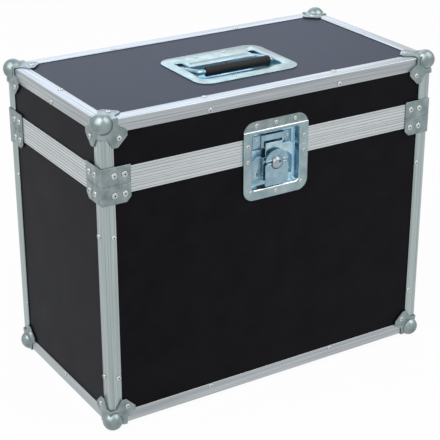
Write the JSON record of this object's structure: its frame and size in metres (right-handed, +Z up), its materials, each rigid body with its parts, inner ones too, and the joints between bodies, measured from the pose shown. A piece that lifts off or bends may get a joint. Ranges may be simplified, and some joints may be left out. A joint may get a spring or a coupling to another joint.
{
  "type": "record carrying case",
  "caption": "Tall box case with panels in an aluminium frame, ball corners, hinged lid, recessed twist latch and fold-flat bail handle.",
  "frame": {"origin": "on the floor, in the middle of the case's footprint", "axes": "+X to the case's right seen from its latch side, +Y to the hinges at the back, +Z up"},
  "size_m": [0.54, 0.2938, 0.4551],
  "materials": {
    "black_laminate": "plywood faced with black laminate, fine satin texture",
    "black_foam": "thin charcoal foam pad",
    "aluminium_profile": "extruded aluminium with long drawing lines, satin",
    "zinc_corner": "pressed steel, bright zinc plated",
    "bright_zinc": "pressed steel, blue-white zinc plated",
    "steel_rivet": "steel rivet head, plated",
    "grip_rubber": "black rubber sleeve, satin"
  },
  "bodies": {
    "base": {"base_bottom_panel": "black_laminate", "base_front_panel": "black_laminate", "base_back_panel": "black_laminate", "base_left_panel": "black_laminate", "base_right_panel": "black_laminate", "floor_foam": "black_foam", "base_bottom_angles": "aluminium_profile", "base_corner_angles": "aluminium_profile", "base_rail_front": "aluminium_profile", "base_rail_back": "aluminium_profile", "base_rail_left": "aluminium_profile", "base_rail_right": "aluminium_profile", "base_ball_corners": "zinc_corner", "base_corner_braces": "zinc_corner", "base_hinge_leaves": "zinc_corner", "hinge_pins": "zinc_corner", "latch_base_dish": "bright_zinc", "latch_cover": "bright_zinc", "latch_base_rivets": "steel_rivet", "base_frame_rivets": "steel_rivet", "base_ball_rivets": "steel_rivet", "base_hinge_rivets": "steel_rivet"},
    "lid": {"lid_top_panel": "black_laminate", "lid_front_panel": "black_laminate", "lid_back_panel": "black_laminate", "lid_left_panel": "black_laminate", "lid_right_panel": "black_laminate", "lid_foam": "black_foam", "lid_top_angles": "aluminium_profile", "lid_corner_angles": "aluminium_profile", "lid_rail_front": "aluminium_profile", "lid_rail_back": "aluminium_profile", "lid_rail_left": "aluminium_profile", "lid_rail_right": "aluminium_profile", "lid_ball_corners": "zinc_corner", "lid_corner_braces": "zinc_corner", "lid_hinge_leaves": "zinc_corner", "latch_lid_dish": "bright_zinc", "latch_keeper": "bright_zinc", "latch_lid_rivets": "steel_rivet", "handle_dish": "bright_zinc", "handle_rivets": "steel_rivet", "lid_frame_rivets": "steel_rivet", "lid_ball_rivets": "steel_rivet", "lid_hinge_rivets": "steel_rivet"},
    "handle": {"handle_bail": "bright_zinc", "handle_grip": "grip_rubber"},
    "spindle": {"latch_spindle": "bright_zinc", "latch_wing_pins": "bright_zinc"},
    "drawbar": {"latch_drawbar": "bright_zinc"},
    "upper_wing": {"latch_upper_wing": "bright_zinc"},
    "lower_wing": {"latch_lower_wing": "bright_zinc"}
  },
  "joints": [
    {"name": "lid_hinge", "type": "hinge", "parent": "base", "child": "lid", "pos_m": [0, 0.1435, 0.3577], "axis": [-1, 0, 0], "range_deg": [0, 100]},
    {"name": "handle_pivot", "type": "hinge", "parent": "lid", "child": "handle", "pos_m": [0, 0.012, 0.4382], "axis": [-1, 0, 0], "range_deg": [0, 80]},
    {"name": "latch_turn", "type": "hinge", "parent": "base", "child": "spindle", "pos_m": [0, -0.139, 0.3397], "axis": [0, 1, 0], "range_deg": [0, 180]},
    {"name": "drawbar_slide", "type": "slide", "parent": "base", "child": "drawbar", "axis": [0, 0, 1], "range_m": [0, 0.008]},
    {"name": "upper_wing_fold", "type": "hinge", "parent": "spindle", "child": "upper_wing", "pos_m": [0, -0.1417, 0.3434], "axis": [1, 0, 0], "range_deg": [0, 85], "stiffness_Nm_per_rad": 0.01, "springref_deg": -17.19},
    {"name": "lower_wing_fold", "type": "hinge", "parent": "spindle", "child": "lower_wing", "pos_m": [0, -0.1417, 0.339], "axis": [-1, 0, 0], "range_deg": [0, 85], "stiffness_Nm_per_rad": 0.01, "springref_deg": -17.19}
  ],
  "couplings": [
    {"joint": "latch_turn", "follows": "drawbar_slide", "rad_per_m": 392.7}
  ]
}
